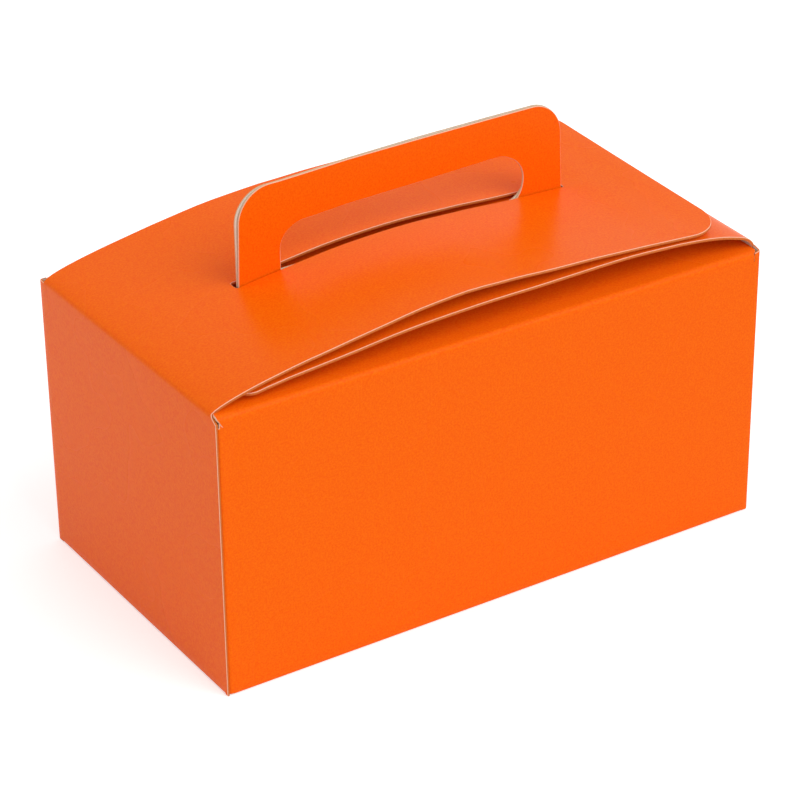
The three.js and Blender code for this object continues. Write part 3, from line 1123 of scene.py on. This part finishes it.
class CARTON_OT_lid(bpy.types.Operator):
    """Cuts and bends the lid, from its crease on the left wall to its rounded free end"""

    bl_idname = "carton.lid"
    bl_label = "Bend Lid"

    def execute(self, context):
        sizes = context.scene.carton_sizes
        path = lid_path(sizes)
        far = stations(path)[-1]
        half = sizes.width / 2 - sizes.flap_inset
        wall_half = sizes.width / 2
        crease = station_near(path, z=sizes.height - sizes.board) + CREASE_REACH
        lid = blank("lid", 0, -half, far, half)
        split(crease, 0)
        pull(outline_edge(1, -half, 0, crease), (0, half - wall_half))
        choose_corner(crease, -wall_half)
        move(x=-sizes.lid_root_cut)
        for side in (-1, 1):
            round_corner(far, side * half, sizes.lid_corner, 16)
        thicken(sizes.flap_board, sizes.board / 2)
        start, end = (station_near(path, x) for x in (sizes.slot_start, sizes.slot_end))
        cut_window(lid, start, -slot_front(sizes), end, sizes.slot_back, [sizes.slot_corner] * 4)

        def seam(place):
            return near(place.x, 0) or (near(place.y, half) and place.x < crease - 1e-5)

        colour_faces(lid, sizes.rim, seam)
        add_rows(lid, half, sizes.rows)
        fold(lid, path)
        end = sizes.length / 2 - sizes.lid_end_gap
        root = wall_x(sizes, sizes.length)
        root_x = root + math.cos(sizes.lid_root_angle) * (sizes.board / 2 + ROOT_STEP)
        root_arm_x = root_x + math.cos(sizes.lid_root_angle) * sizes.lid_root_arm
        end_arm_x = end - math.cos(sizes.lid_end_angle) * sizes.lid_end_arm

        def rise(place):
            across = min(1, max(0, (place.y + half) / (2 * half)))
            if place.x < root_x or place.z < sizes.height:
                return 0
            if place.x < 0:
                t = curve_share(root_x, root_arm_x, -sizes.lid_crown_arm, 0, place.x)
                crown = 3 * (1 - t) * t ** 2 + t ** 3
                tail = 0
            else:
                t = curve_share(0, sizes.lid_crown_end_arm, end_arm_x, end, place.x)
                crown = (1 - t) ** 3 + 3 * (1 - t) ** 2 * t
                tail = 1 - crown
            raised = sizes.lid_front_lift * (1 - across) * crown
            raised += sizes.lid_back_lift * across * tail
            return raised + trimmed(LID_TRIM, place.x, place.y, half)

        lift(lid, rise)
        dress(lid, "lid_flap")
        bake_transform(lid)
        return {"FINISHED"}


def slot_front(sizes):
    """From the middle to a slot's front side, which passes the front handle board."""
    return sizes.handle_gap / 2 + sizes.board + sizes.slot_clearance


def add_rows(piece, half, rows):
    """Cuts a flat piece along its length, so that it can twist a little when it is bent."""
    edit(piece)
    for row in range(1, rows):
        split(-half + 2 * half * row / rows, 1)
    leave()


def trimmed(table, x, y, half):
    """A flap's small rise at a place, out of its table."""
    across = min(1, max(-1, y / half))
    front, centre, back = (read_off(table, x, column) for column in (1, 2, 3))
    return centre + (back - front) / 2 * across + ((back + front) / 2 - centre) * across ** 2


def curve_share(a, b, c, d, x):
    """Where along a curve, 0 to 1, it passes X, from the X of its four points."""
    low, high = 0.0, 1.0
    for _ in range(30):
        t = (low + high) / 2
        here = a * (1 - t) ** 3 + 3 * b * (1 - t) ** 2 * t + 3 * c * (1 - t) * t ** 2 + d * t ** 3
        if here < x:
            low = t
        else:
            high = t
    return low


class CARTON_OT_bottom_flaps(bpy.types.Operator):
    """Cuts and folds the four flaps of the snap-lock bottom"""

    bl_idname = "carton.bottom_flaps"
    bl_label = "Fold Bottom Flaps"

    def execute(self, context):
        sizes = context.scene.carton_sizes
        step = sizes.board + sizes.layer_gap
        wide = sizes.length / 2 - sizes.relief
        narrow = sizes.length / 2 - sizes.board - sizes.bottom_taper
        lock = sizes.lock_length / 2
        notch = lock + sizes.lock_clearance
        self.front(sizes, step, wide, narrow, lock)
        self.back(sizes, step, wide, narrow, notch)
        for name, side in (("bottom_left", -1), ("bottom_right", 1)):
            self.side(name, side, sizes, step)
        return {"FINISHED"}

    def taper(self, panel, start, stop, wide, narrow):
        """Pulls the flap out from its crease and narrows its free end."""
        pull(outline_edge(0, start), (stop - start, 0))
        widen(stop, narrow / wide)

    def front(self, sizes, step, wide, narrow, lock):
        half = sizes.board / 2
        path = floor_path(sizes, sizes.width, 0, 0, sizes.front_run)
        path[-1:] = [
            Vector((-sizes.lock_ramp, -half)),
            Vector((0, -half - 3 * step)),
            Vector((sizes.lock_reach, -half - 3 * step)),
        ]
        start = stations(path)[sizes.arc_steps + 1]
        ramp = station_near(path, -sizes.lock_ramp, -half)
        far = stations(path)[-1]
        panel = blank("bottom_front", 0, -wide, start, wide)
        self.taper(panel, start, ramp, wide, narrow)
        for side in (-1, 1):
            split(side * lock, 1)
        pull(outline_edge(0, ramp, -lock, lock), (far - ramp, 0))
        for side in (-1, 1):
            round_corner(far, side * lock, sizes.lock_corner)
        thicken(sizes.board)
        colour_faces(panel, sizes.rim, lambda place: place.x < start)
        fold(panel, path)
        settle(panel, "carton", "carton", 1, upside_down=True)

    def back(self, sizes, step, wide, narrow, notch):
        path = floor_path(sizes, sizes.width, sizes.lock_reach, 2 * step, sizes.back_run)
        start = stations(path)[sizes.arc_steps + 1]
        far = stations(path)[-1]
        panel = blank("bottom_back", 0, -wide, start, wide)
        self.taper(panel, start, far, wide, narrow)
        thicken(sizes.board)
        cut_window(
            panel,
            station_near(path, -sizes.lock_clearance, path[-1].y),
            -notch,
            far + CUT_MARGIN,
            notch,
            [sizes.bottom_corner, 0, 0, sizes.bottom_corner],
        )
        colour_faces(panel, sizes.rim, lambda place: place.x < start)
        fold(panel, path)
        settle(panel, "carton", "carton", -1, upside_down=True)

    def side(self, name, side, sizes, step):
        reach = -sizes.length / 2 + sizes.side_flap_depth
        path = floor_path(sizes, sizes.length, reach, step, sizes.side_run)
        start = stations(path)[sizes.arc_steps + 1]
        far = stations(path)[-1]
        inset = sizes.side_flap_gap if side < 0 else sizes.flap_inset
        front_end = -side * (sizes.width / 2 - inset)
        back_end = side * (sizes.width / 2 - sizes.flap_inset)
        low, high = sorted((front_end, back_end))
        panel = blank(name, 0, low, start, high)
        pull(outline_edge(0, start), (far - start, 0))
        tips = {
            front_end: -side * sizes.lock_reach,
            back_end: side * (sizes.width / 2 - sizes.side_flap_slant),
        }
        for here, there in tips.items():
            choose_corner(far, here)
            move(y=there - here)
        for tip in tips.values():
            round_corner(far, tip, sizes.bottom_corner)
        thicken(sizes.board)
        colour_faces(panel, sizes.rim, lambda place: place.x < start)
        fold(panel, path)
        settle(panel, "carton", "carton", 0 if side < 0 else 2, upside_down=True)


class CARTON_OT_stage(bpy.types.Operator):
    """Lays the floor, lights it and sets the camera"""

    bl_idname = "carton.stage"
    bl_label = "Set Stage"

    def execute(self, context):
        stage = context.scene.carton_stage
        self.floor(stage)
        self.light(stage)
        bpy.ops.object.camera_add(location=stage.camera_place, rotation=stage.camera_turn)
        camera = context.object
        camera.name = "camera"
        camera.data.lens = stage.lens
        camera.data.sensor_width = 36
        camera.data.shift_y = stage.lens_shift
        camera.data.clip_start = 0.01
        context.scene.camera = camera
        context.scene.view_settings.view_transform = "Standard"
        return {"FINISHED"}

    def floor(self, stage):
        bpy.ops.object.select_all(action="DESELECT")
        bpy.ops.mesh.primitive_plane_add(size=stage.floor_size, location=(0, 0, -stage.floor_drop))
        floor = bpy.context.object
        floor.name = "floor"
        bpy.ops.object.transform_apply(location=True, rotation=True, scale=True)
        material = bpy.data.materials.new("pale_floor")
        add = node_maker(material)
        seen = background_rays(add)
        glow = add("ShaderNodeMath", {0: seen, 1: stage.floor_glow}, operation="MULTIPLY")
        matt = add("ShaderNodeBsdfDiffuse", {"Color": (*stage.floor_colour, 1)})
        shine = add("ShaderNodeEmission", {"Strength": glow.outputs[0]})
        both = add("ShaderNodeAddShader", {0: matt.outputs[0], 1: shine.outputs[0]})
        clear = add("ShaderNodeBsdfTransparent")
        side = add("ShaderNodeNewGeometry")
        shown = add(
            "ShaderNodeMixShader",
            {0: side.outputs["Backfacing"], 1: both.outputs[0], 2: clear.outputs[0]},
        )
        add("ShaderNodeOutputMaterial", {"Surface": shown.outputs[0]})
        floor.data.materials.append(material)

    def light(self, stage):
        world = bpy.data.worlds.new("studio")
        bpy.context.scene.world = world
        add = node_maker(world)
        seen = background_rays(add)
        strength = add("ShaderNodeMapRange", {"Value": seen, "To Min": stage.sky, "To Max": 1.0})
        sky = add("ShaderNodeBackground", {"Color": (1, 1, 1, 1), "Strength": strength.outputs[0]})
        add("ShaderNodeOutputWorld", {"Surface": sky.outputs[0]})
        for name, strength, way in (
            ("key_light", stage.key, Vector(stage.key_way)),
            ("fill_light", stage.fill, Vector(stage.fill_way)),
        ):
            bpy.ops.object.light_add(type="SUN", location=way * 2)
            lamp = bpy.context.object
            lamp.name = name
            lamp.rotation_euler = way.to_track_quat("Z", "Y").to_euler()
            lamp.data.energy = strength
            lamp.data.angle = stage.lamp_spread


class CARTON_PT_panel(bpy.types.Panel):
    """Folds the carton, piece by piece"""

    bl_label = "Candy Carton"
    bl_idname = "CARTON_PT_panel"
    bl_space_type = "VIEW_3D"
    bl_region_type = "UI"
    bl_category = "Carton"

    def draw(self, context):
        for operator in OPERATORS:
            self.layout.operator(operator.bl_idname)
        for name in GROUPS:
            group = getattr(context.scene, name)
            box = self.layout.box()
            for key in group.__annotations__:
                box.prop(group, key)


GROUPS = {
    "carton_sizes": CartonSizes,
    "carton_finish": CartonFinish,
    "carton_stage": StageSettings,
}
OPERATORS = (
    CARTON_OT_walls,
    CARTON_OT_bottom_flaps,
    CARTON_OT_handle_boards,
    CARTON_OT_lower_flap,
    CARTON_OT_lid,
    CARTON_OT_stage,
)


def register():
    for group in (*GROUPS.values(), *OPERATORS, CARTON_PT_panel):
        bpy.utils.register_class(group)
    for name, group in GROUPS.items():
        setattr(bpy.types.Scene, name, PointerProperty(type=group))


def unregister():
    for name in GROUPS:
        delattr(bpy.types.Scene, name)
    for group in reversed((*GROUPS.values(), *OPERATORS, CARTON_PT_panel)):
        bpy.utils.unregister_class(group)


def main():
    register()
    bpy.ops.carton.walls()
    bpy.ops.carton.bottom_flaps()
    bpy.ops.carton.handle_boards()
    bpy.ops.carton.lower_flap()
    bpy.ops.carton.lid()
    bpy.ops.carton.stage()
    bpy.context.view_layer.update()


if __name__ == "__main__":
    main()
